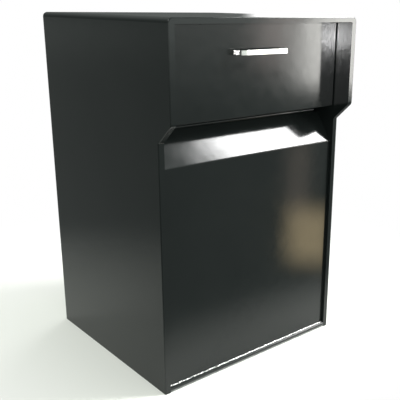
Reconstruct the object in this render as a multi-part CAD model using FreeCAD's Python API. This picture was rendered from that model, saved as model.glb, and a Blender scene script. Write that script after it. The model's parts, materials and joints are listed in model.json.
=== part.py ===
import FreeCAD, Part
import math
import os

# Parcel drop box: a free-standing steel cabinet with a tilt-out hopper under a projecting hood
# at the front, and a lockable access door at the rear. Millimetres. +Z is up, the front faces
# -Y, and the origin is at the middle of the footprint, on the floor.

# ---- Driving dimensions -------------------------------------------------------------------

# Cabinet
width = 527.0
height = 813.0
depth = 538.0              # hood front to rear face
lower_setback = 45.0       # the lower front stands this far behind the hood
sheet = 1.5                # folded steel sheet
side_rim = 14.0            # thickness of a double-skinned side wall
top_rim = 12.0             # thickness of the double-skinned top
hood_height = 202.0        # top of the cabinet to the start of the hood's underside slope
hood_slope_height = 41.0   # height of that slope
hood_corner_radius = 12.0
hood_root_radius = 3.0
top_corner_radius = 11.0
front_bend_radius = 2.5
rear_bend_radius = 8.0
bend_radius = 1.5          # inside radius of the other folds
weld_gap = 0.1             # fit between sheets that are tacked together
overrun = 1.0              # cutters run this far past the metal
tolerance = 1e-4           # for finding edges by where they lie

# Lower front: sill, recessed panel and the sloping shed above it
sill_height = 12.0
panel_recess = 7.0         # behind the lower front rim
panel_side_gap = 1.0
fold_drop = 298.0          # top of the cabinet to the fold between panel and shed
shed_slope = 56.0          # degrees from horizontal
shed_run = 46.0            # horizontal depth of the shed
panel_bend_radius = 3.0
cleat_width = 18.0

# Base
base_thickness = 2.0
anchor_radius = 7.0
anchor_spacing_x = 360.0
anchor_spacing_y = 280.0

# Hopper
hopper_recess = 48.0       # front plate behind the hood's front
hopper_gap = 3.5           # round the front plate
hopper_front_height = 195.5
hopper_flange = 18.0
hopper_bend_radius = 0.6
cheek_inset = 3.0          # cheek's outer face inside the front plate's edge
cheek_top_depth = 42.0
cheek_notch = 2.0          # cheek's corner relief at the front plate's fold
cheek_fit = 0.2            # cheek clear of the tray's fold
tray_length = 250.0
tray_slope = 35.0          # degrees below horizontal, shut
tray_lip = 12.0
tray_start = 5.0           # front fold to the tray's front edge
tray_step = (19.0, 22.0)   # start and end of the step down behind the front flange
tray_bend_radius = 0.6
stiffener_width = 40.0
stiffener_depth = 10.0
stiffener_flange = 10.0
stiffener_top_gap = 8.0    # below the stop

# Hinges
hopper_knuckle_radius = 4.5
hopper_pin_radius = 2.4
hopper_leaf_width = 28.0
hopper_leaf_length = 470.0
hopper_knuckles = 19
door_knuckle_radius = 4.0
door_pin_radius = 2.0
door_leaf_width = 18.0
door_knuckles = 15
leaf = 1.5
leaf_rise = 0.6            # tray's underside clear of the hopper hinge's knuckles
pin_clearance = 0.06
relief_clearance = 0.5     # leaf round the other leaf's knuckles
hinge_past_shed = 1.5      # knuckles past the shed's upper edge
knuckle_overlap = 1.0      # door knuckles run this far into their leaves
knuckle_gap = 0.6

# Hopper stop and baffle
stop_height = 20.0
stop_flange = 18.0
stop_end_gap = 12.0
bumper_gap = 0.3
bumper_radius = 8.0
bumper_spacing = 300.0
bumper_height = 3.0
bumper_drop = 11.0         # ceiling to a bumper's centre
bumper_edge = 0.6
baffle_depth = 384.0       # from the hood's front
baffle_height = 160.0
baffle_flange = 20.0

# Handle
handle_length = 136.0
handle_height = 11.0
handle_thickness = 8.0
handle_rise = 22.0         # front plate to the back of the grip
handle_bend_radius = 4.0
handle_below_top = 60.0    # underside of the top to the handle's centre line
handle_edge = 1.2
handle_screw_radius = 2.0
screw_head_radius = 4.2
screw_head_height = 2.6
screw_head_edge = 1.0
screw_clearance = 0.2      # in a plain hole
thread_fit = 0.02          # in a tapped hole
screw_depth = 10.0
screw_hole_depth = 12.0

# Rear frame and door
stile_width = 20.0
stile_return = 21.5
door_bottom = 45.0
door_height = 560.0
door_depth = 20.0
door_recess = 8.0
door_gap = 3.0
door_stiffener_width = 46.0
door_stiffener_depth = 14.0
door_stiffener_inset = 12.0
door_stop_size = 30.0
door_stop_reach = 14.5
door_stop_inset = 60.0     # from the door's ends
door_bumper_radius = 4.0

# Cam lock
lock_inset = 28.5          # lock's axis from the door's free edge
lock_height = 325.0
lock_body_radius = 9.4
lock_flange_radius = 12.0
lock_flange = 2.0
lock_flange_edge = 1.0
lock_hole_clearance = 0.1
lock_body_length = 26.0
lock_nut_flats = 25.0
lock_nut = 5.0
lock_nut_corner = 0.8
plug_radius = 6.0
plug_proud = 0.8
plug_edge = 0.5
key_slot_width = 1.6
key_slot_length = 8.0
key_slot_depth = 6.0
cam_length = 42.0
cam_width = 15.0
cam = 2.5
cam_gap = 0.4              # cam behind the lock's body
cam_clearance = 1.0        # strike in front of the cam
cam_hole = 7.0
cam_corner = 3.0
tenon_clearance = 0.05
cam_screw_radius = 5.5
cam_screw_height = 3.0
cam_screw_edge = 0.8
strike_length = 50.0
strike = 2.0
strike_door_gap = 2.5

# ---- Places that follow from them ---------------------------------------------------------

half_width = width / 2
y_hood = -depth / 2
y_rear = depth / 2
y_lower = y_hood + lower_setback
liner_x = half_width - side_rim            # inner face of a side wall
z_ceiling = height - top_rim

y_panel = y_lower + panel_recess
panel_height = height - fold_drop
shed_rise = shed_run * math.tan(math.radians(shed_slope))
shed_along = (math.cos(math.radians(shed_slope)), math.sin(math.radians(shed_slope)))
shed_normal = (-shed_along[1], shed_along[0])
knuckle_space = hopper_knuckle_radius + hinge_past_shed

# The hopper's hinge line lies just past the shed's upper edge, under its sheet.
shed_top = (y_panel + shed_run, panel_height + shed_rise)
hinge_sink = sheet + leaf / 2
hopper_axis = (
    shed_top[0] + knuckle_space * shed_along[0] - hinge_sink * shed_normal[0],
    shed_top[1] + knuckle_space * shed_along[1] - hinge_sink * shed_normal[1],
)

y_hopper = y_hood + hopper_recess
z_hopper_top = z_ceiling - hopper_gap
z_hopper_bottom = z_hopper_top - hopper_front_height
hopper_half = liner_x - hopper_gap
cheek_x = hopper_half - cheek_inset        # outer face of a cheek
tray_half = cheek_x - sheet
tray_along = (math.cos(math.radians(tray_slope)), -math.sin(math.radians(tray_slope)))
tray_normal = (-tray_along[1], tray_along[0])

stile_x = liner_x - stile_width            # door side of a stile
leaf_offset = leaf + door_knuckle_radius - knuckle_overlap    # hinge line to either leaf's back
door_axis_x = -stile_x + leaf_offset
door_left = door_axis_x + leaf_offset
door_right = stile_x - door_gap
y_door = y_rear - door_recess
z_door_top = door_bottom + door_height
door_axis_y = y_door + door_knuckle_radius - leaf
lock_x = door_right - lock_inset
y_cam = y_door - lock_body_length - cam_gap - cam


# ---- Helpers ------------------------------------------------------------------------------

def unit(dx, dy):
    size = math.hypot(dx, dy)
    return dx / size, dy / size


def offset_points(points, distance):
    """Points of an open outline moved sideways, to the left of its direction, with mitres."""
    moved = []
    last = len(points) - 1
    for i, (x, y) in enumerate(points):
        before = unit(x - points[i - 1][0], y - points[i - 1][1]) if i else None
        after = unit(points[i + 1][0] - x, points[i + 1][1] - y) if i < last else None
        before = before or after
        after = after or before
        nx = -before[1] - after[1]
        ny = before[0] + after[0]
        scale = 2 * distance / (nx * nx + ny * ny)
        moved.append((x + nx * scale, y + ny * scale))
    return moved


def rounded_face(points, radii, place):
    """Closed outline with an arc of its own radius at each point; place maps 2-D to 3-D."""
    edges = []
    starts = []
    ends = []
    count = len(points)
    for i in range(count):
        here = points[i]
        back = points[i - 1]
        ahead = points[(i + 1) % count]
        if radii[i] <= 0:
            starts.append(here)
            ends.append(here)
            continue
        a = unit(back[0] - here[0], back[1] - here[1])
        b = unit(ahead[0] - here[0], ahead[1] - here[1])
        angle = math.acos(max(-1.0, min(1.0, a[0] * b[0] + a[1] * b[1])))
        reach = radii[i] / math.tan(angle / 2)
        middle = unit(a[0] + b[0], a[1] + b[1])
        to_arc = radii[i] / math.sin(angle / 2) - radii[i]
        start = (here[0] + a[0] * reach, here[1] + a[1] * reach)
        end = (here[0] + b[0] * reach, here[1] + b[1] * reach)
        crown = (here[0] + middle[0] * to_arc, here[1] + middle[1] * to_arc)
        edges.append(Part.Arc(place(*start), place(*crown), place(*end)).toShape())
        starts.append(start)
        ends.append(end)
    for i in range(count):
        a = place(*ends[i])
        b = place(*starts[(i + 1) % count])
        if a.distanceToPoint(b) > tolerance:
            edges.append(Part.LineSegment(a, b).toShape())
    wire = Part.Wire(Part.__sortEdges__(edges))
    return Part.Face(wire)


def profile_x(points, radii, x0, x1):
    """Outline in Y and Z, drawn out along X."""
    face = rounded_face(points, radii, lambda y, z: FreeCAD.Vector(x0, y, z))
    return face.extrude(FreeCAD.Vector(x1 - x0, 0, 0))


def profile_z(points, radii, z0, z1):
    """Outline in X and Y, drawn out along Z."""
    face = rounded_face(points, radii, lambda x, y: FreeCAD.Vector(x, y, z0))
    return face.extrude(FreeCAD.Vector(0, 0, z1 - z0))


def folded_outline(points, thickness, radius):
    """Outline and corner radii of a sheet folded along points, its thickness to the left."""
    outline = points + offset_points(points, thickness)[::-1]
    radii = [0.0] * len(outline)
    last = len(points) - 1
    for i in range(1, last):
        before = unit(points[i][0] - points[i - 1][0], points[i][1] - points[i - 1][1])
        after = unit(points[i + 1][0] - points[i][0], points[i + 1][1] - points[i][1])
        left_turn = before[0] * after[1] - before[1] * after[0] > 0
        radii[i] = radius + thickness if left_turn else radius
        radii[2 * last + 1 - i] = radius if left_turn else radius + thickness
    return outline, radii


def folded_x(points, thickness, x0, x1, radius=bend_radius):
    """Sheet folded along an open outline in Y and Z; its thickness lies to the left."""
    return profile_x(*folded_outline(points, thickness, radius), x0, x1)


def block(x0, x1, y0, y1, z0, z1):
    corner = FreeCAD.Vector(min(x0, x1), min(y0, y1), min(z0, z1))
    return Part.makeBox(abs(x1 - x0), abs(y1 - y0), abs(z1 - z0), corner)


def rod(radius, start, end):
    start = FreeCAD.Vector(*start)
    run = FreeCAD.Vector(*end) - start
    return Part.makeCylinder(radius, run.Length, start, run)


def mirror_x(shape):
    return shape.mirror(FreeCAD.Vector(0, 0, 0), FreeCAD.Vector(1, 0, 0))


def joined(shapes):
    result = shapes[0]
    for shape in shapes[1:]:
        result = result.fuse(shape)
    return result.removeSplitter()


def group(shapes):
    return Part.makeCompound(shapes)


def edges_where(shape, test):
    """Edges whose every sampled point passes the test."""
    found = []
    for edge in shape.Edges:
        low, high = edge.ParameterRange
        spots = [edge.valueAt(low + (high - low) * k / 4) for k in range(5)]
        if all(test(p) for p in spots):
            found.append(edge)
    return found


def near(a, b):
    return abs(a - b) < tolerance


def export(name, shape):
    shape.exportStep("parts/" + name + ".step")


# ---- Cabinet ------------------------------------------------------------------------------

def side_outline(inset):
    """Stepped outline of a side wall, in Y and Z, moved inwards."""
    slope = unit(lower_setback, -hood_slope_height)
    shift = inset * (1 + slope[1]) / slope[0]
    hood_z = height - hood_height
    points = [
        (y_hood + inset, z_ceiling - inset),
        (y_hood + inset, hood_z + shift),
        (y_lower + inset, hood_z - hood_slope_height + shift),
        (y_lower + inset, inset),
        (y_rear - inset, inset),
        (y_rear - inset, z_ceiling - inset),
    ]
    radii = [0.0, hood_corner_radius - inset, hood_root_radius + inset, 0.0, 0.0, 0.0]
    return points, radii


def side_block(inset):
    """Solid envelope of the left wall with its front and rear bends, moved inwards."""
    points, radii = side_outline(inset)
    outer = -half_width + inset
    solid = profile_x(points, radii, outer, -liner_x)
    on_outer = edges_where(solid, lambda p: near(p.x, outer))
    rear = [e for e in on_outer if all(near(v.Y, y_rear - inset) for v in e.Vertexes)]
    front = []
    for edge in on_outer:
        middle = edge.valueAt(sum(edge.ParameterRange) / 2)
        flat = near(middle.z, inset) or near(middle.z, z_ceiling - inset)
        if middle.y < 0 and not flat:
            front.append(edge)
    solid = solid.makeFillet(rear_bend_radius - inset, rear)
    front = [e for e in edges_where(solid, lambda p: near(p.x, outer))
             if any(e.CenterOfMass.distanceToPoint(f.CenterOfMass) < tolerance for f in front)]
    return solid.makeFillet(front_bend_radius - inset, front)


def side_skin():
    """Left outer skin, folded round into a pan as deep as the wall."""
    cavity = side_block(sheet)
    mouth = cavity.copy()
    mouth.translate(FreeCAD.Vector(side_rim / 2, 0, 0))
    return side_block(0.0).cut(cavity.fuse(mouth))


def side_liner():
    points, radii = side_outline(sheet + weld_gap)
    return profile_x(points, radii, -liner_x - sheet, -liner_x)


def top_block(inset):
    """Solid envelope of the top with its rounded corners, moved inwards."""
    outer = half_width - inset
    top = height - inset
    front = y_hood + inset
    rear = y_rear - inset
    solid = block(-outer, outer, front, rear, z_ceiling, top)
    along = edges_where(solid, lambda p: near(p.z, top) and near(abs(p.x), outer))
    solid = solid.makeFillet(top_corner_radius - inset, along)
    for y, radius in ((front, front_bend_radius), (rear, rear_bend_radius)):
        rim = edges_where(solid, lambda p: near(p.y, y) and p.z > z_ceiling - tolerance)
        rim = [e for e in rim if not all(near(v.Z, z_ceiling) for v in e.Vertexes)]
        solid = solid.makeFillet(radius - inset, rim)
    return solid


def top_skin():
    cavity = top_block(sheet)
    mouth = cavity.copy()
    mouth.translate(FreeCAD.Vector(0, 0, -top_rim / 4))
    return top_block(0.0).cut(cavity.fuse(mouth))


def ceiling_liner():
    reach = half_width - sheet - weld_gap * 2
    front = y_hood + sheet + weld_gap
    rear = y_rear - rear_bend_radius
    return block(-reach, reach, front, rear, z_ceiling, z_ceiling + sheet)


def front_sill():
    """Channel across the foot of the lower front."""
    path = [
        (y_panel, 0.0),
        (y_lower, 0.0),
        (y_lower, sill_height),
        (y_panel + cleat_width, sill_height),
    ]
    return folded_x(path, -sheet, -liner_x, liner_x, front_bend_radius)


def lower_front_panel():
    """Recessed front panel folded back into the sloping shed."""
    half = liner_x - panel_side_gap
    path = [shed_top, (y_panel, panel_height), (y_panel, sill_height)]
    return folded_x(path, sheet, -half, half, panel_bend_radius)


def panel_cleats():
    """Angles that hold the lower front panel to the side walls."""
    back = y_panel + sheet
    low = sill_height + sheet
    high = panel_height - cleat_width
    foot = block(-liner_x, -liner_x + sheet, back, back + cleat_width, low, high)
    face = block(-liner_x + sheet, -liner_x + cleat_width, back, back + sheet, low, high)
    angle = joined([foot, face])
    return group([angle, mirror_x(angle)])


def base_plate():
    y0 = y_panel + sheet
    plate = block(-liner_x, liner_x, y0, y_rear, 0, base_thickness)
    for x in (-anchor_spacing_x / 2, anchor_spacing_x / 2):
        for y in (-anchor_spacing_y / 2, anchor_spacing_y / 2):
            hole = rod(anchor_radius, (x, y, -overrun), (x, y, base_thickness + overrun))
            plate = plate.cut(hole)
    return plate


def rear_stile():
    """Left stile of the rear frame, folded in beside the door."""
    outline = [
        (-liner_x, y_rear),
        (-stile_x, y_rear),
        (-stile_x, y_rear - stile_return),
    ]
    inner = offset_points(outline, -sheet)
    points = outline + inner[::-1]
    radii = [0.0, bend_radius + sheet, 0.0, 0.0, bend_radius, 0.0]
    return profile_z(points, radii, base_thickness, z_ceiling)


def rear_upper_panel():
    """Closed panel of the rear above the door, with a return over the door's head."""
    low = z_door_top + door_gap
    path = [(y_rear, z_ceiling), (y_rear, low), (y_rear - stile_return, low)]
    return folded_x(path, -sheet, -stile_x, stile_x)


def rear_sill():
    high = door_bottom - door_gap
    path = [(y_rear, base_thickness), (y_rear, high), (y_rear - stile_return, high)]
    return folded_x(path, sheet, -stile_x, stile_x)


def baffle_plate():
    """Plate behind the hopper that keeps hands and hooks out of the bin."""
    y = y_hood + baffle_depth
    path = [(y, z_ceiling - baffle_height), (y, z_ceiling), (y + baffle_flange, z_ceiling)]
    return folded_x(path, -sheet, -liner_x + weld_gap, liner_x - weld_gap)


def stop_face_y():
    return y_hopper + sheet + bumper_gap + bumper_height


def hopper_stop():
    """Angle under the top that the hopper's front plate shuts against."""
    y = stop_face_y()
    path = [(y, z_ceiling - stop_height), (y, z_ceiling), (y + stop_flange, z_ceiling)]
    half = tray_half - stop_end_gap
    return folded_x(path, -sheet, -half, half)


def hopper_bumpers():
    y = stop_face_y()
    z = z_ceiling - bumper_drop
    pads = []
    for x in (-bumper_spacing / 2, bumper_spacing / 2):
        pad = rod(bumper_radius, (x, y, z), (x, y - bumper_height, z))
        rim = edges_where(pad, lambda p: near(p.y, y - bumper_height))
        pads.append(pad.makeFillet(bumper_edge, rim))
    return group(pads)


# ---- Hinges -------------------------------------------------------------------------------

def knuckle_spans(length, count, odd):
    """Start and end of every second knuckle of a hinge, centred on zero."""
    pitch = length / count
    spans = []
    for i in range(1 if odd else 0, count, 2):
        low = -length / 2 + i * pitch + knuckle_gap / 2
        spans.append((low, low + pitch - knuckle_gap))
    return spans


def knuckled_leaf(plate, knuckle_radius, pin_radius, spans, at):
    """Leaf with its knuckles, bored for the pin; at(s) gives a point on the hinge line."""
    shape = plate
    for low, high in spans:
        shape = shape.fuse(rod(knuckle_radius, at(low), at(high)))
    shape = shape.removeSplitter()
    bore = rod(pin_radius + pin_clearance, at(spans[0][0] - overrun), at(spans[-1][1] + overrun))
    return shape.cut(bore)


def gapped(plate, cut_spans, knuckle_radius, at):
    """Leaf plate relieved round the other leaf's knuckles."""
    for low, high in cut_spans:
        relief = rod(knuckle_radius + relief_clearance, at(low - knuckle_gap), at(high + knuckle_gap))
        plate = plate.cut(relief)
    return plate


def hopper_line(s):
    return (s, hopper_axis[0], hopper_axis[1])


def on_hopper(along, normal, s, n):
    """Point at s along a direction and n along its normal, from the hopper's hinge line."""
    return (
        hopper_axis[0] + s * along[0] + n * normal[0],
        hopper_axis[1] + s * along[1] + n * normal[1],
    )


def hopper_fixed_leaf():
    """Leaf under the shed, with the odd knuckles."""
    half = hopper_leaf_length / 2
    path = [
        on_hopper(shed_along, shed_normal, -hopper_leaf_width, leaf / 2),
        on_hopper(shed_along, shed_normal, 0.0, leaf / 2),
        on_hopper(shed_along, shed_normal, 0.0, -leaf / 2),
        on_hopper(shed_along, shed_normal, -hopper_leaf_width, -leaf / 2),
    ]
    plate = profile_x(path, [0.0] * 4, -half, half)
    own = knuckle_spans(hopper_leaf_length, hopper_knuckles, False)
    other = knuckle_spans(hopper_leaf_length, hopper_knuckles, True)
    plate = gapped(plate, other, hopper_knuckle_radius, hopper_line)
    return knuckled_leaf(plate, hopper_knuckle_radius, hopper_pin_radius, own, hopper_line)


def hopper_moving_leaf():
    """Leaf under the tray, with the even knuckles."""
    half = hopper_leaf_length / 2
    top = hopper_knuckle_radius + leaf_rise
    path = [
        on_hopper(tray_along, tray_normal, 0.0, top),
        on_hopper(tray_along, tray_normal, hopper_leaf_width, top),
        on_hopper(tray_along, tray_normal, hopper_leaf_width, top - leaf),
        on_hopper(tray_along, tray_normal, 0.0, top - leaf),
    ]
    plate = profile_x(path, [0.0] * 4, -half, half)
    own = knuckle_spans(hopper_leaf_length, hopper_knuckles, True)
    other = knuckle_spans(hopper_leaf_length, hopper_knuckles, False)
    plate = gapped(plate, other, hopper_knuckle_radius, hopper_line)
    return knuckled_leaf(plate, hopper_knuckle_radius, hopper_pin_radius, own, hopper_line)


def hopper_hinge_pin():
    half = hopper_leaf_length / 2
    return rod(hopper_pin_radius, hopper_line(-half), hopper_line(half))


def door_line(s):
    return (door_axis_x, door_axis_y, door_bottom + door_height / 2 + s)


def door_leaf(x0, x1, odd):
    length = door_height - 2 * bend_radius
    middle = door_bottom + door_height / 2
    low = middle - length / 2
    high = middle + length / 2
    plate = block(x0, x1, door_axis_y - door_leaf_width, door_axis_y, low, high)
    own = knuckle_spans(length, door_knuckles, odd)
    other = knuckle_spans(length, door_knuckles, not odd)
    plate = gapped(plate, other, door_knuckle_radius, door_line)
    return knuckled_leaf(plate, door_knuckle_radius, door_pin_radius, own, door_line)


def door_fixed_leaf():
    return door_leaf(-stile_x, -stile_x + leaf, False)


def door_moving_leaf():
    return door_leaf(door_left - leaf, door_left, True)


def door_hinge_pin():
    half = door_height / 2 - bend_radius
    return rod(door_pin_radius, door_line(-half), door_line(half))


# ---- Hopper -------------------------------------------------------------------------------

def hopper_underside():
    """Lower surface of the hopper's sheet: front fold, fold over the hinge, tray's end.

    Both stretches are tangents of a circle round the hinge line, just outside its knuckles."""
    front = (y_hopper, z_hopper_bottom)
    reach = hopper_knuckle_radius + leaf_rise
    dy = hopper_axis[0] - front[0]
    dz = hopper_axis[1] - front[1]
    fall = math.atan2(dz, dy) + math.asin(reach / math.hypot(dy, dz))
    turn = fall + math.radians(tray_slope)
    over_hinge = on_hopper(tray_along, tray_normal, -reach * math.tan(turn / 2), reach)
    end = on_hopper(tray_along, tray_normal, tray_length, reach)
    return front, over_hinge, end


def hopper_front():
    """Front plate folded back along its lower edge, with bored handle holes."""
    front, over_hinge, _ = hopper_underside()
    along = unit(over_hinge[0] - front[0], over_hinge[1] - front[1])
    flange_end = (front[0] + along[0] * hopper_flange, front[1] + along[1] * hopper_flange)
    plate = folded_x([(y_hopper, z_hopper_top), front, flange_end],
                     sheet, -hopper_half, hopper_half, hopper_bend_radius)
    for x in handle_screw_places():
        hole = rod(handle_screw_radius + screw_clearance, (x, y_hopper - overrun, handle_z()),
                   (x, y_hopper + sheet + overrun, handle_z()))
        plate = plate.cut(hole)
    return plate


def hopper_tray():
    """Tray that a parcel rests on when the hopper is open, with a lip at its end."""
    front, over_hinge, end = hopper_underside()
    along = unit(over_hinge[0] - front[0], over_hinge[1] - front[1])

    def under(reach, lift=0.0):
        return (front[0] + along[0] * reach - along[1] * lift,
                front[1] + along[1] * reach + along[0] * lift)

    lip = (end[0] + tray_lip * tray_normal[0], end[1] + tray_lip * tray_normal[1])
    path = [under(tray_start, sheet), under(tray_step[0], sheet), under(tray_step[1]),
            over_hinge, end, lip]
    return folded_x(path, sheet, -tray_half, tray_half, tray_bend_radius)


def hopper_cheek():
    """Left end plate between the front plate and the tray."""
    front, over_hinge, end = hopper_underside()
    back = y_hopper + sheet
    top = z_hopper_top - hopper_gap
    along = unit(over_hinge[0] - front[0], over_hinge[1] - front[1])
    slope = along[1] / along[0]
    foot = front[1] + sheet * slope + sheet / along[0]
    lip = (end[0] + tray_lip * tray_normal[0], end[1] + tray_lip * tray_normal[1])
    points = [
        (back + cheek_notch, foot + cheek_notch * slope),
        (over_hinge[0], over_hinge[1] + sheet + cheek_fit),
        (end[0] - sheet * tray_along[0] + sheet * tray_normal[0],
         end[1] - sheet * tray_along[1] + sheet * tray_normal[1]),
        (lip[0] - sheet * tray_along[0], lip[1] - sheet * tray_along[1]),
        (back + cheek_top_depth, top),
        (back, top),
        (back, foot + cheek_notch),
    ]
    radii = [0.0, 0.0, 0.0, hood_root_radius, hood_corner_radius, hood_root_radius, 0.0]
    return profile_x(points, radii, -cheek_x, -tray_half)


def handle_z():
    return z_ceiling - handle_below_top


def handle_screw_places():
    reach = (handle_length - handle_thickness) / 2
    return -reach, reach


def handle_bar():
    """Flat bar bent into a D, its legs tapped from behind and its edges eased."""
    front = y_hopper - handle_rise - handle_thickness
    end = handle_length / 2
    path = [(-end, y_hopper), (-end, front), (end, front), (end, y_hopper)]
    low = handle_z() - handle_height / 2
    outline, radii = folded_outline(path, handle_thickness, handle_bend_radius)
    bar = profile_z(outline, radii, low, low + handle_height)
    bar = bar.makeFillet(handle_edge, edges_where(bar, lambda p: p.y < y_hopper - tolerance))
    for x in handle_screw_places():
        bar = bar.cut(rod(handle_screw_radius, (x, y_hopper, handle_z()),
                          (x, y_hopper - screw_hole_depth, handle_z())))
    return bar


def handle_screws():
    """Pan-head screws from behind the front plate into the handle's legs."""
    back = y_hopper + sheet
    z = handle_z()
    screws = []
    for x in handle_screw_places():
        shank = rod(handle_screw_radius - thread_fit, (x, back, z), (x, y_hopper - screw_depth, z))
        head = rod(screw_head_radius, (x, back, z), (x, back + screw_head_height, z))
        rim = edges_where(head, lambda p: near(p.y, back + screw_head_height))
        screws.append(joined([head.makeFillet(screw_head_edge, rim), shank]))
    return group(screws)


def hopper_stiffener():
    """Hat channel up the inside of the front plate's middle."""
    low = z_hopper_bottom + hopper_flange
    high = z_hopper_top - stop_height - stiffener_top_gap
    y0 = y_hopper + sheet
    half = stiffener_width / 2
    foot = half + stiffener_flange
    outline = [
        (-foot, y0), (-foot, y0 + sheet), (-half, y0 + sheet),
        (-half, y0 + stiffener_depth), (half, y0 + stiffener_depth), (half, y0 + sheet),
        (foot, y0 + sheet), (foot, y0), (half - sheet, y0),
        (half - sheet, y0 + stiffener_depth - sheet),
        (-half + sheet, y0 + stiffener_depth - sheet), (-half + sheet, y0),
    ]
    return profile_z(outline, [0.0] * len(outline), low, high)


# ---- Rear door and lock -------------------------------------------------------------------

def rear_door():
    """Door pan, open towards the bin, bored for the lock."""
    outer = block(door_left, door_right, y_door - door_depth, y_door, door_bottom, z_door_top)
    upright = edges_where(outer, lambda p: near(p.y, y_door))
    outer = outer.makeFillet(bend_radius + sheet, upright)
    inner = block(door_left + sheet, door_right - sheet, y_door - door_depth - overrun, y_door - sheet,
                  door_bottom + sheet, z_door_top - sheet)
    inner = inner.makeFillet(bend_radius, edges_where(inner, lambda p: near(p.y, y_door - sheet)))
    pan = outer.cut(inner)
    reach = lock_body_radius + lock_hole_clearance
    return pan.cut(rod(reach, (lock_x, y_door - sheet - overrun, lock_height),
                       (lock_x, y_door + overrun, lock_height)))


def door_stiffener():
    """Channel up the middle of the door pan."""
    back = y_door - sheet
    half = door_stiffener_width / 2
    deep = back - door_stiffener_depth
    middle = (door_left + door_right) / 2
    outline = [
        (middle - half, back), (middle - half, deep), (middle + half, deep), (middle + half, back),
        (middle + half - sheet, back), (middle + half - sheet, deep + sheet),
        (middle - half + sheet, deep + sheet), (middle - half + sheet, back),
    ]
    outside = bend_radius + sheet
    radii = [0.0, outside, outside, 0.0, 0.0, bend_radius, bend_radius, 0.0]
    low = door_bottom + door_stiffener_inset
    high = z_door_top - door_stiffener_inset
    return profile_z(outline, radii, low, high)


def at_lock(y, dx=0.0, dz=0.0):
    """Point beside the lock's axis."""
    return lock_x + dx, y, lock_height + dz


def lock_body():
    face = y_door + lock_flange
    back = y_door - lock_body_length
    flange = rod(lock_flange_radius, at_lock(y_door), at_lock(face))
    flange = flange.makeFillet(lock_flange_edge, edges_where(flange, lambda p: near(p.y, face)))
    barrel = rod(lock_body_radius, at_lock(back), at_lock(y_door))
    bore = rod(plug_radius + pin_clearance, at_lock(back - overrun), at_lock(face + overrun))
    return joined([flange, barrel]).cut(bore)


def lock_nut_ring():
    radius = lock_nut_flats / math.sqrt(3)
    back = y_door - sheet
    points = []
    for k in range(6):
        turn = math.radians(60 * k)
        points.append((lock_x + radius * math.cos(turn), lock_height + radius * math.sin(turn)))
    face = rounded_face(points, [lock_nut_corner] * 6, lambda x, z: FreeCAD.Vector(x, back, z))
    nut = face.extrude(FreeCAD.Vector(0, -lock_nut, 0))
    start = at_lock(back + overrun)
    return nut.cut(rod(lock_body_radius + thread_fit, start, at_lock(back - lock_nut - overrun)))


def lock_plug():
    """Turning core: keyed face outside, square tenon for the cam inside."""
    front = y_door + lock_flange + plug_proud
    back = y_door - lock_body_length
    core = rod(plug_radius, at_lock(back), at_lock(front))
    core = core.makeFillet(plug_edge, edges_where(core, lambda p: near(p.y, front)))
    slot = block(lock_x - key_slot_width / 2, lock_x + key_slot_width / 2,
                 front - key_slot_depth, front + overrun,
                 lock_height - key_slot_length / 2, lock_height + key_slot_length / 2)
    half = cam_hole / 2 - tenon_clearance
    tenon = block(lock_x - half, lock_x + half, y_cam, back, lock_height - half, lock_height + half)
    return joined([core.cut(slot), tenon])


def lock_cam():
    """Flat cam, hanging down when unlocked."""
    half = cam_width / 2
    points = [
        (lock_x - half, lock_height + half), (lock_x + half, lock_height + half),
        (lock_x + half, lock_height - cam_length), (lock_x - half, lock_height - cam_length),
    ]
    crown = half - plug_edge
    radii = [crown, crown, cam_corner, cam_corner]
    face = rounded_face(points, radii, lambda x, z: FreeCAD.Vector(x, y_cam, z))
    plate = face.extrude(FreeCAD.Vector(0, cam, 0))
    hole = cam_hole / 2
    return plate.cut(block(lock_x - hole, lock_x + hole, y_cam - overrun, y_cam + cam + overrun,
                           lock_height - hole, lock_height + hole))


def cam_screw():
    end = y_cam - cam_screw_height
    head = rod(cam_screw_radius, at_lock(y_cam), at_lock(end))
    return head.makeFillet(cam_screw_edge, edges_where(head, lambda p: near(p.y, end)))


def lock_strike():
    """Angle on the right wall that the cam turns behind."""
    y0 = y_cam + cam + cam_clearance
    low = lock_height - strike_length / 2
    high = lock_height + strike_length / 2
    catch = block(stile_x + strike_door_gap, liner_x, y0, y0 + strike, low, high)
    foot = block(liner_x - strike, liner_x, y0 + strike, y_rear - sheet, low, high)
    return joined([catch, foot])


def door_stop_levels():
    low = door_bottom + door_stop_inset
    high = z_door_top - door_stop_inset - door_stop_size
    return low, high


def door_stops():
    """Two angles on the right stile behind the door's free edge."""
    y0 = y_door - door_depth - bumper_height - bumper_gap
    stops = []
    for z in door_stop_levels():
        face = block(stile_x - door_stop_reach, stile_x, y0 - sheet, y0, z, z + door_stop_size)
        foot = block(stile_x - sheet, stile_x, y0, y0 + stile_return, z, z + door_stop_size)
        stops.append(joined([face, foot]))
    return group(stops)


def door_bumpers():
    y0 = y_door - door_depth - bumper_height - bumper_gap
    pads = []
    x = stile_x - door_stop_reach / 2
    for z in door_stop_levels():
        middle = z + door_stop_size / 2
        pad = rod(door_bumper_radius, (x, y0, middle), (x, y0 + bumper_height, middle))
        rim = edges_where(pad, lambda p: near(p.y, y0 + bumper_height))
        pads.append(pad.makeFillet(bumper_edge, rim))
    return group(pads)


# ---- Write the nodes ----------------------------------------------------------------------

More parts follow.
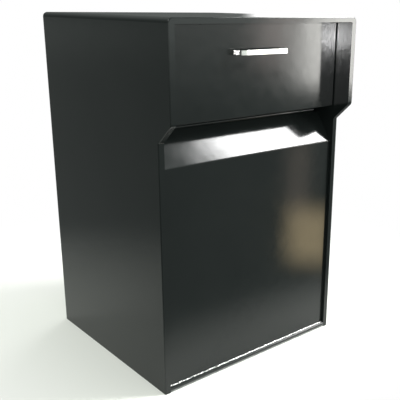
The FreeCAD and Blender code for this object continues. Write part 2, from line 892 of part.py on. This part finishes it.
def main():
    os.makedirs("parts", exist_ok=True)
    pairs = {
        "side_skin": side_skin(),
        "side_liner": side_liner(),
        "rear_stile": rear_stile(),
        "hopper_cheek": hopper_cheek(),
    }
    for name, shape in pairs.items():
        export("left_" + name, shape)
        export("right_" + name, mirror_x(shape))
    singles = {
        "top_skin": top_skin(),
        "ceiling_liner": ceiling_liner(),
        "front_sill": front_sill(),
        "lower_front_panel": lower_front_panel(),
        "panel_cleats": panel_cleats(),
        "base_plate": base_plate(),
        "rear_upper_panel": rear_upper_panel(),
        "rear_sill": rear_sill(),
        "baffle_plate": baffle_plate(),
        "hopper_stop": hopper_stop(),
        "hopper_bumpers": hopper_bumpers(),
        "hopper_hinge_fixed_leaf": hopper_fixed_leaf(),
        "hopper_hinge_pin": hopper_hinge_pin(),
        "hopper_hinge_moving_leaf": hopper_moving_leaf(),
        "hopper_front": hopper_front(),
        "hopper_tray": hopper_tray(),
        "hopper_stiffener": hopper_stiffener(),
        "handle_bar": handle_bar(),
        "handle_screws": handle_screws(),
        "door_hinge_fixed_leaf": door_fixed_leaf(),
        "door_hinge_pin": door_hinge_pin(),
        "door_hinge_moving_leaf": door_moving_leaf(),
        "door_stops": door_stops(),
        "door_bumpers": door_bumpers(),
        "lock_strike": lock_strike(),
        "rear_door": rear_door(),
        "door_stiffener": door_stiffener(),
        "lock_body": lock_body(),
        "lock_nut": lock_nut_ring(),
        "lock_plug": lock_plug(),
        "lock_cam": lock_cam(),
        "cam_screw": cam_screw(),
    }
    for name, shape in singles.items():
        export(name, shape)


main()
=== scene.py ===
import functools
import json
import math
import random

import bmesh
import bpy
from mathutils import Euler, Matrix, Vector


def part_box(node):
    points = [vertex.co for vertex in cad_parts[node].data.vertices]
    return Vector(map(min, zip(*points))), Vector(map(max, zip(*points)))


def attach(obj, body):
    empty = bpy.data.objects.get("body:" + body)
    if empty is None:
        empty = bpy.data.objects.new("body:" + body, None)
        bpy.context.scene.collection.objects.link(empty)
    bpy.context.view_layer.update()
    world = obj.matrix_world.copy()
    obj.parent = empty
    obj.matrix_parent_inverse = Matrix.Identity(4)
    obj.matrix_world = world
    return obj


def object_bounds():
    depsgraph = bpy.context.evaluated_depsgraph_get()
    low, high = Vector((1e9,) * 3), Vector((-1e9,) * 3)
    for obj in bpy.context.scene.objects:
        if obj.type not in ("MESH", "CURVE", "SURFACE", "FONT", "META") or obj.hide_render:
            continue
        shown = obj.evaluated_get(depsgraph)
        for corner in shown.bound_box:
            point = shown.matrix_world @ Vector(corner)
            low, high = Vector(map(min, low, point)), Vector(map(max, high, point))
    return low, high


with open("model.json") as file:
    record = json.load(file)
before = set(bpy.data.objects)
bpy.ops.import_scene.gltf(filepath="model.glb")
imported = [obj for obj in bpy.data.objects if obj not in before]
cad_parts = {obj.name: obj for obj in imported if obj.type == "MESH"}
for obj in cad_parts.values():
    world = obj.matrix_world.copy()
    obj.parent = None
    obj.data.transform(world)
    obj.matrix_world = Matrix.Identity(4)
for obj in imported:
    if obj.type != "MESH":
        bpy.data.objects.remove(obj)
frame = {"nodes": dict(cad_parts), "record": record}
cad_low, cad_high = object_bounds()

NODES = frame["nodes"]

# ---- Camera and studio --------------------------------------------------------------------

CAMERA_PLACE = (-0.964, -1.306, 0.837)
CAMERA_HEADING = 41.64     # degrees from +Y towards +X
CAMERA_PITCH = 17.25       # degrees below the horizon
CAMERA_ROLL = 0.86         # degrees
CAMERA_LENS = 58.97        # mm
CAMERA_SENSOR = 36.0       # mm
CAMERA_SHIFT = (-0.14, 0.02)

# How far the floor goes beyond the footprint: (axis, side, reach)
FLOOR_REACH = (("X", -1, 0.90), ("X", 1, 0.80), ("Y", -1, 0.28), ("Y", 1, 0.90))
FLOOR_COLOR = (0.88, 0.88, 0.84)
FLOOR_ROUGHNESS = 0.9
FLOOR_SPECULAR = 0.1

# Room brightness by the Z of a direction, from -1 to 1: (Z, luminance)
ROOM_FRONT = ((-0.30, 0.19), (-0.16, 0.27), (-0.09, 0.72), (-0.03, 2.0), (0.3, 0.9), (0.9, 0.7))
ROOM_BACK = ((-0.30, 0.26), (-0.10, 0.24), (-0.03, 0.38), (0.0, 0.15), (0.2, 0.15), (0.9, 0.7))
ROOM_CHANGE = (-0.2, 0.4)  # Y of the directions between which front gives way to back
ROOM_TINT = (0.93, 1.0, 0.96)


def look_rotation(heading, pitch, roll):
    """Rotation that looks along a heading and a pitch below the horizon, in degrees."""
    turn = Euler((math.radians(90 - pitch), 0, math.radians(-heading)), "XYZ").to_matrix()
    return (turn @ Matrix.Rotation(math.radians(roll), 3, "Z")).to_4x4()


def make_camera():
    data = bpy.data.cameras.new("camera")
    data.lens = CAMERA_LENS
    data.sensor_width = CAMERA_SENSOR
    data.shift_x, data.shift_y = CAMERA_SHIFT
    camera = bpy.data.objects.new("camera", data)
    camera.matrix_world = Matrix.Translation(CAMERA_PLACE) @ look_rotation(
        CAMERA_HEADING, CAMERA_PITCH, CAMERA_ROLL)
    bpy.context.scene.collection.objects.link(camera)
    bpy.context.scene.camera = camera


def map_range(tree, value, low, high, start, end, interpolation="SMOOTHSTEP"):
    """Node that maps a value from start and end to low and high."""
    node = tree.nodes.new("ShaderNodeMapRange")
    node.interpolation_type = interpolation
    node.inputs["From Min"].default_value = start
    node.inputs["From Max"].default_value = end
    node.inputs["To Min"].default_value = low
    node.inputs["To Max"].default_value = high
    tree.links.new(value, node.inputs["Value"])
    return node.outputs["Result"]


def combine(tree, operation, *values):
    """Math node on sockets or numbers."""
    node = tree.nodes.new("ShaderNodeMath")
    node.operation = operation
    for socket, value in zip(node.inputs, values):
        if isinstance(value, (int, float)):
            socket.default_value = value
        else:
            tree.links.new(value, socket)
    return node.outputs["Value"]


def separate(tree, vector):
    """Outputs X, Y and Z of a vector socket."""
    node = tree.nodes.new("ShaderNodeSeparateXYZ")
    tree.links.new(vector, node.inputs["Vector"])
    return node.outputs


def floor_paint(halves):
    """Pale paint that turns clear towards the floor's edges."""
    paint = bpy.data.materials.new("floor_paint")
    paint.use_nodes = True
    tree = paint.node_tree
    shader = tree.nodes["Principled BSDF"]
    shader.inputs["Base Color"].default_value = (*FLOOR_COLOR, 1)
    shader.inputs["Roughness"].default_value = FLOOR_ROUGHNESS
    shader.inputs["Specular IOR Level"].default_value = FLOOR_SPECULAR
    place = separate(tree, tree.nodes.new("ShaderNodeTexCoord").outputs["Object"])
    squares = []
    for axis, side, reach in FLOOR_REACH:
        past = combine(tree, "MULTIPLY_ADD", place[axis], side, -halves[axis])
        share = combine(tree, "DIVIDE", combine(tree, "MAXIMUM", past, 0.0), reach)
        squares.append(combine(tree, "MULTIPLY", share, share))
    away = combine(tree, "SQRT", functools.reduce(functools.partial(combine, tree, "ADD"), squares))
    tree.links.new(map_range(tree, away, 1.0, 0.0, 0.0, 1.0), shader.inputs["Alpha"])
    return paint


def make_floor():
    """Pale floor that fades into the white backdrop a little way from the box."""
    halves = {"X": cad_high.x, "Y": cad_high.y}
    west, east, south, north = (side * (halves[axis] + reach) for axis, side, reach in FLOOR_REACH)
    mesh = bpy.data.meshes.new("floor")
    shape = bmesh.new()
    corners = [shape.verts.new((x, y, 0))
               for x, y in ((west, south), (east, south), (east, north), (west, north))]
    shape.faces.new(corners)
    shape.to_mesh(mesh)
    shape.free()
    floor = bpy.data.objects.new("floor", mesh)
    bpy.context.scene.collection.objects.link(floor)
    mesh.materials.append(floor_paint(halves))


def soft_light(name, place, target, size, luminance, color=(1, 1, 1), feather=0.2, receivers=()):
    """Area light that faces a target, feathered at its edges and hidden from the camera.

    One with receivers lights only those nodes, and only by reflection."""
    data = bpy.data.lights.new(name, "AREA")
    data.shape = "RECTANGLE"
    data.size, data.size_y = size
    data.energy = luminance * math.pi * size[0] * size[1]
    data.color = color
    data.use_nodes = True
    tree = data.node_tree
    spot = separate(tree, tree.nodes.new("ShaderNodeNewGeometry").outputs["Parametric"])
    edges = []
    for axis in "XY":
        rise = map_range(tree, spot[axis], 0.0, 1.0, 0.0, feather)
        fall = map_range(tree, spot[axis], 1.0, 0.0, 1.0 - feather, 1.0)
        edges.append(combine(tree, "MULTIPLY", rise, fall))
    strength = tree.nodes["Emission"].inputs["Strength"]
    tree.links.new(combine(tree, "MULTIPLY", *edges), strength)
    light = bpy.data.objects.new(name, data)
    aim = (Vector(target) - Vector(place)).to_track_quat("-Z", "Y")
    light.matrix_world = Matrix.Translation(place) @ aim.to_matrix().to_4x4()
    light.visible_camera = False
    bpy.context.scene.collection.objects.link(light)
    if receivers:
        light.visible_diffuse = False
        lit = bpy.data.collections.new(name + "_lit")
        for node in receivers:
            lit.objects.link(NODES[node])
        light.light_linking.receiver_collection = lit


def luminance_ramp(tree, height, stops):
    """Luminance along a scale of heights; the ramp holds it divided by its largest value."""
    peak = max(value for _, value in stops)
    ramp = tree.nodes.new("ShaderNodeValToRGB")
    ramp.color_ramp.interpolation = "EASE"
    elements = ramp.color_ramp.elements
    while len(elements) < len(stops):
        elements.new(0.5)
    for element, (place, value) in zip(elements, stops):
        element.position = (place + 1) / 2
        element.color = (value / peak,) * 3 + (1,)
    tree.links.new(height, ramp.inputs["Fac"])
    return combine(tree, "MULTIPLY", ramp.outputs["Color"], peak)


def make_world():
    """White to the camera; a dim room in reflections, brighter in front of the box."""
    world = bpy.data.worlds.new("studio")
    world.use_nodes = True
    bpy.context.scene.world = world
    tree = world.node_tree
    tree.nodes.clear()
    link = tree.links.new
    output = tree.nodes.new("ShaderNodeOutputWorld")
    mix = tree.nodes.new("ShaderNodeMixShader")
    path = tree.nodes.new("ShaderNodeLightPath")
    white = tree.nodes.new("ShaderNodeBackground")
    white.inputs["Color"].default_value = (1, 1, 1, 1)
    room = tree.nodes.new("ShaderNodeBackground")
    room.inputs["Color"].default_value = (*ROOM_TINT, 1)
    direction = separate(tree, tree.nodes.new("ShaderNodeTexCoord").outputs["Generated"])
    height = combine(tree, "MULTIPLY_ADD", direction["Z"], 0.5, 0.5)
    front = luminance_ramp(tree, height, ROOM_FRONT)
    back = luminance_ramp(tree, height, ROOM_BACK)
    behind = map_range(tree, direction["Y"], 0.0, 1.0, *ROOM_CHANGE)
    change = combine(tree, "MULTIPLY", behind, combine(tree, "SUBTRACT", back, front))
    link(combine(tree, "ADD", front, change), room.inputs["Strength"])
    link(path.outputs["Is Camera Ray"], mix.inputs["Fac"])
    link(room.outputs["Background"], mix.inputs[1])
    link(white.outputs["Background"], mix.inputs[2])
    link(mix.outputs["Shader"], output.inputs["Surface"])


def make_lights():
    """Studio lights, then four that stand for reflections of a room's bright spots."""
    soft_light("overhead", place=(2.98, -1.77, 2.80), target=(0.0, -0.2, 0.53),
               size=(1.55, 1.5), luminance=46, feather=0.09)
    soft_light("window", place=(2.53, -2.02, 0.80), target=(0.1, -0.22, 0.72),
               size=(0.93, 1.08), luminance=16.5, color=(1, 0.985, 0.94), feather=0.09)
    soft_light("strip", place=(2.10, -2.43, 0.80), target=(0.0, -0.22, 0.72),
               size=(0.28, 1.02), luminance=4.4, color=(1, 0.84, 0.79), feather=0.3)
    soft_light("rim", place=(3.4, 2.3, 1.5), target=(0, 0, 0.6),
               size=(2.2, 2.6), luminance=5)
    soft_light("left", place=(-2.4, 0.5, 2.9), target=(-0.4, 0.1, 0.0),
               size=(2.4, 2.4), luminance=5.5, color=(0.98, 1, 0.96))
    corner = ("right_side_liner", "hopper_front")
    soft_light("behind_camera", place=(-2.15, -2.75, 0.52), target=(0, -0.25, 0.6),
               size=(1.2, 1.2), luminance=14.5, feather=0.12, receivers=corner)
    soft_light("flash", place=(-0.99, -1.36, 0.700), target=(0.25, -0.25, 0.77),
               size=(0.18, 0.05), luminance=2700, feather=0.12, receivers=corner)
    panel = ("lower_front_panel",)
    soft_light("warm_low", place=(0.515, -0.53, 0.115), target=(0.16, -0.217, 0.24),
               size=(0.23, 0.29), luminance=4.9, color=(1.0, 0.79, 0.45), feather=0.4,
               receivers=panel)
    soft_light("warm_streak", place=(0.55, -0.62, 0.30), target=(0.10, -0.217, 0.40),
               size=(0.12, 0.44), luminance=1.1, color=(1.0, 0.80, 0.66), feather=0.4,
               receivers=panel)


# ---- Materials ----------------------------------------------------------------------------

COAT_IOR = 1.36
COAT_COLORS = ((0.0082, 0.0102, 0.0100), (0.0126, 0.0150, 0.0144))
COAT_ROUGHNESS = (0.075, 0.135)
DUST_COLOR = (0.045, 0.044, 0.041)
WAVE_DEPTH = 0.00010       # metres; slow waves in the coat
PEEL_DEPTH = 0.00005       # orange peel
# Lighter bare metal at the sill's foot: rubbed wear, and a painted reflection of the floor.
SCUFF_AND_REFLECTION_COLOR = (0.26, 0.27, 0.27)
SILL_REFLECTION_BAND = 0.0065        # height above the floor of the sill's lighter band: rubbed-through coat, and a painted reflection of the floor
HANDLE_COLOR = (0.80, 0.79, 0.76)
HANDLE_GRAIN = (14.0, 1500.0, 1500.0)
HANDLE_ROUGHNESS = 0.26


class Surface:
    """A node material with short calls for the pieces that every finish here uses."""

    def __init__(self, name):
        self.material = bpy.data.materials.new(name)
        self.material.use_nodes = True
        self.tree = self.material.node_tree
        self.shader = self.tree.nodes["Principled BSDF"]
        self.place = self.tree.nodes.new("ShaderNodeTexCoord").outputs["Object"]

    def link(self, source, target):
        self.tree.links.new(source, target)

    def stretched(self, scale):
        mapping = self.tree.nodes.new("ShaderNodeMapping")
        mapping.inputs["Scale"].default_value = scale
        self.link(self.place, mapping.inputs["Vector"])
        return mapping.outputs["Vector"]

    def noise(self, scale, detail=2.0, rough=0.5, vector=None):
        node = self.tree.nodes.new("ShaderNodeTexNoise")
        node.inputs["Scale"].default_value = scale
        node.inputs["Detail"].default_value = detail
        node.inputs["Roughness"].default_value = rough
        self.link(vector or self.place, node.inputs["Vector"])
        return node.outputs["Fac"]

    def span(self, value, low, high, start=0.3, end=0.7):
        return map_range(self.tree, value, low, high, start, end, "LINEAR")

    def blend(self, factor, first, second):
        node = self.tree.nodes.new("ShaderNodeMix")
        node.data_type = "RGBA"
        self.link(factor, node.inputs["Factor"])
        for socket, value in ((node.inputs["A"], first), (node.inputs["B"], second)):
            if isinstance(value, tuple):
                socket.default_value = (*value, 1)
            else:
                self.link(value, socket)
        return node.outputs["Result"]

    def maths(self, operation, first, second):
        return combine(self.tree, operation, first, second)

    def bump(self, height, distance, below=None):
        node = self.tree.nodes.new("ShaderNodeBump")
        node.inputs["Distance"].default_value = distance
        node.inputs["Strength"].default_value = 1.0
        self.link(height, node.inputs["Height"])
        if below is not None:
            self.link(below, node.inputs["Normal"])
        return node.outputs["Normal"]

    def finish(self, color, roughness, normal):
        self.link(color, self.shader.inputs["Base Color"])
        self.link(roughness, self.shader.inputs["Roughness"])
        self.link(normal, self.shader.inputs["Normal"])
        return self.material


def metal_surface(name):
    metal = Surface(name)
    metal.shader.inputs["Metallic"].default_value = 1.0
    return metal


def powder_coat(name, reflection_band_height=None):
    """Black gloss powder coat: orange peel, faint handling haze, and a little dust on top faces.

    With a band height, the coat below it turns to lighter bare metal: rubbed wear, and a painted
    reflection of the floor."""
    paint = Surface(name)
    paint.shader.inputs["IOR"].default_value = COAT_IOR
    haze = paint.noise(5.0, 4.0, 0.6)
    smudge = paint.noise(31.0, 3.0, 0.6)
    mottle = paint.blend(haze, *COAT_COLORS)
    facing = separate(paint.tree, paint.tree.nodes.new("ShaderNodeNewGeometry").outputs["Normal"])
    flat = paint.span(facing["Z"], 0.0, 1.0, 0.8, 1.0)
    grains = paint.span(paint.noise(900.0, 2.0, 0.7), 0.0, 0.5, 0.58, 0.72)
    dust = paint.maths("MULTIPLY", flat, grains)
    color = paint.blend(dust, mottle, DUST_COLOR)
    rough = paint.maths("ADD", paint.span(smudge, *COAT_ROUGHNESS), paint.span(haze, 0.0, 0.03))
    rough = paint.maths("ADD", rough, paint.maths("MULTIPLY", dust, 0.15))
    wave = paint.bump(paint.noise(38.0, 1.0), WAVE_DEPTH)
    skin = paint.bump(paint.noise(420.0), PEEL_DEPTH, below=wave)
    # Painted reflection: below the band height the coat turns to lighter streaked bare metal,
    # standing in for the floor's reflection as well as rubbed wear.
    if reflection_band_height:
        height = separate(paint.tree, paint.place)["Z"]
        low = paint.span(height, 1.0, 0.0, 0.55 * reflection_band_height, reflection_band_height)
        band_streaks = paint.noise(1.0, 4.0, 0.7, paint.stretched((90.0, 300.0, 700.0)))
        bright_band = paint.maths("MULTIPLY", low, paint.span(band_streaks, 0.35, 1.0, 0.40, 0.55))
        color = paint.blend(bright_band, color, SCUFF_AND_REFLECTION_COLOR)
        rough = paint.maths("ADD", rough, paint.maths("MULTIPLY", bright_band, 0.2))
        paint.link(bright_band, paint.shader.inputs["Metallic"])
    return paint.finish(color, rough, skin)


def satin_handle(name):
    """Bright metal with fine brushed grain along X."""
    metal = metal_surface(name)
    lines = metal.noise(1.0, 5.0, 0.7, metal.stretched(HANDLE_GRAIN))
    shade = metal.blend(lines, tuple(0.86 * c for c in HANDLE_COLOR), HANDLE_COLOR)
    rough = metal.span(lines, HANDLE_ROUGHNESS - 0.07, HANDLE_ROUGHNESS + 0.09)
    return metal.finish(shade, rough, metal.bump(lines, 0.00002))


def zinc_plate(name):
    """Bright zinc plating: faintly blue, patchy, with fine scratches."""
    metal = metal_surface(name)
    patch = metal.noise(60.0, 4.0, 0.6)
    color = metal.blend(patch, (0.5, 0.51, 0.53), (0.66, 0.67, 0.66))
    scratch = metal.noise(1.0, 3.0, 0.7, metal.stretched((900.0, 120.0, 140.0)))
    rough = metal.maths("ADD", metal.span(patch, 0.24, 0.42), metal.span(scratch, 0.0, 0.06))
    return metal.finish(color, rough, metal.bump(scratch, 0.00003))


def lock_chrome(name):
    """Polished chrome, slightly worn."""
    metal = metal_surface(name)
    wear = metal.noise(260.0, 4.0, 0.65)
    color = metal.blend(wear, (0.68, 0.68, 0.7), (0.8, 0.8, 0.8))
    return metal.finish(color, metal.span(wear, 0.06, 0.17), metal.bump(wear, 0.00001))


def rubber(name):
    """Matt black rubber with a fine grit."""
    skin = Surface(name)
    grit = skin.noise(1400.0, 3.0, 0.6)
    color = skin.blend(skin.noise(80.0, 3.0), (0.014, 0.014, 0.014), (0.028, 0.027, 0.026))
    return skin.finish(color, skin.span(grit, 0.62, 0.85), skin.bump(grit, 0.00006))


def weld_bead(name):
    """Bare weld: bright ripples with dark scale between them."""
    metal = metal_surface(name)
    ripple = metal.noise(1.0, 3.0, 0.6, metal.stretched((210.0, 420.0, 420.0)))
    bright = metal.span(ripple, 0.0, 1.0, 0.42, 0.58)
    color = metal.blend(bright, (0.05, 0.05, 0.05), (0.9, 0.9, 0.88))
    return metal.finish(color, metal.span(ripple, 0.5, 0.22), metal.bump(ripple, 0.0004))


def paint_nodes():
    """Gives each CAD node the finish of its material slot, and the sill a coat with a lighter band
    at its foot, a painted reflection of the floor.
    """
    finishes = {slot: make(slot) for slot, make in (
        ("black_powder_coat", powder_coat),
        ("satin_handle", satin_handle),
        ("zinc_plate", zinc_plate),
        ("lock_chrome", lock_chrome),
        ("rubber", rubber),
    )}
    for part in frame["record"]["subparts"]:
        materials = NODES[part["node"]].data.materials
        materials.clear()
        materials.append(finishes[part["material_slot"]])
    # The sill's coat gets the lighter band at its foot, a painted reflection of the floor.
    sill = NODES["front_sill"].data.materials
    sill.clear()
    sill.append(powder_coat("floor_reflection_powder_coat", SILL_REFLECTION_BAND))


# ---- Weld along the sill, which the CAD leaves out -----------------------------------------

WELD_RADIUS = 0.0022
WELD_STEPS = 520
WELD_SIDES = 10
WELD_SEED = 7
WELD_SWELLS = (23, 47, 83, 127, 173)   # waves in the bead's thickness along its length
WELD_WANDERS = 17                      # waves in its path


def tube_along_x(name, y, z, x0, x1):
    """Uneven bead of weld along X, its section swelling and wandering."""
    source = random.Random(WELD_SEED)
    waves = [(source.uniform(0.35, 1.0), source.uniform(0, math.tau), count)
             for count in WELD_SWELLS]
    first_phase = waves[0][1]
    shape = bmesh.new()
    rings = []
    for i in range(WELD_STEPS + 1):
        t = i / WELD_STEPS
        swell = sum(a * math.sin(math.tau * n * t + p) for a, p, n in waves) / len(waves)
        r = WELD_RADIUS * (0.9 + 0.55 * swell)
        drift = WELD_RADIUS * 0.2 * math.sin(math.tau * WELD_WANDERS * t + first_phase)
        ring = []
        for k in range(WELD_SIDES):
            turn = math.tau * k / WELD_SIDES
            ring.append(shape.verts.new((x0 + (x1 - x0) * t, y + drift + r * math.cos(turn),
                                         z + r * math.sin(turn))))
        rings.append(ring)
    for a, b in zip(rings, rings[1:]):
        for k in range(WELD_SIDES):
            after = (k + 1) % WELD_SIDES
            shape.faces.new((a[k], b[k], b[after], a[after]))
    shape.faces.new(rings[0][::-1])
    shape.faces.new(rings[-1])
    bmesh.ops.recalc_face_normals(shape, faces=shape.faces)
    mesh = bpy.data.meshes.new(name)
    shape.to_mesh(mesh)
    shape.free()
    mesh.polygons.foreach_set("use_smooth", [True] * len(mesh.polygons))
    piece = bpy.data.objects.new(name, mesh)
    bpy.context.scene.collection.objects.link(piece)
    return piece


def sill_weld():
    """Bright weld bead where the lower front panel meets the sill."""
    low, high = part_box("lower_front_panel")
    bead = tube_along_x("sill_weld", low.y - WELD_RADIUS * 0.35, low.z + WELD_RADIUS * 0.3,
                        low.x + WELD_RADIUS, high.x - WELD_RADIUS)
    bead.data.materials.append(weld_bead("weld_bead"))
    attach(bead, "cabinet")


bpy.context.scene.view_settings.view_transform = "Standard"
make_camera()
make_floor()
make_world()
make_lights()
paint_nodes()
sill_weld()
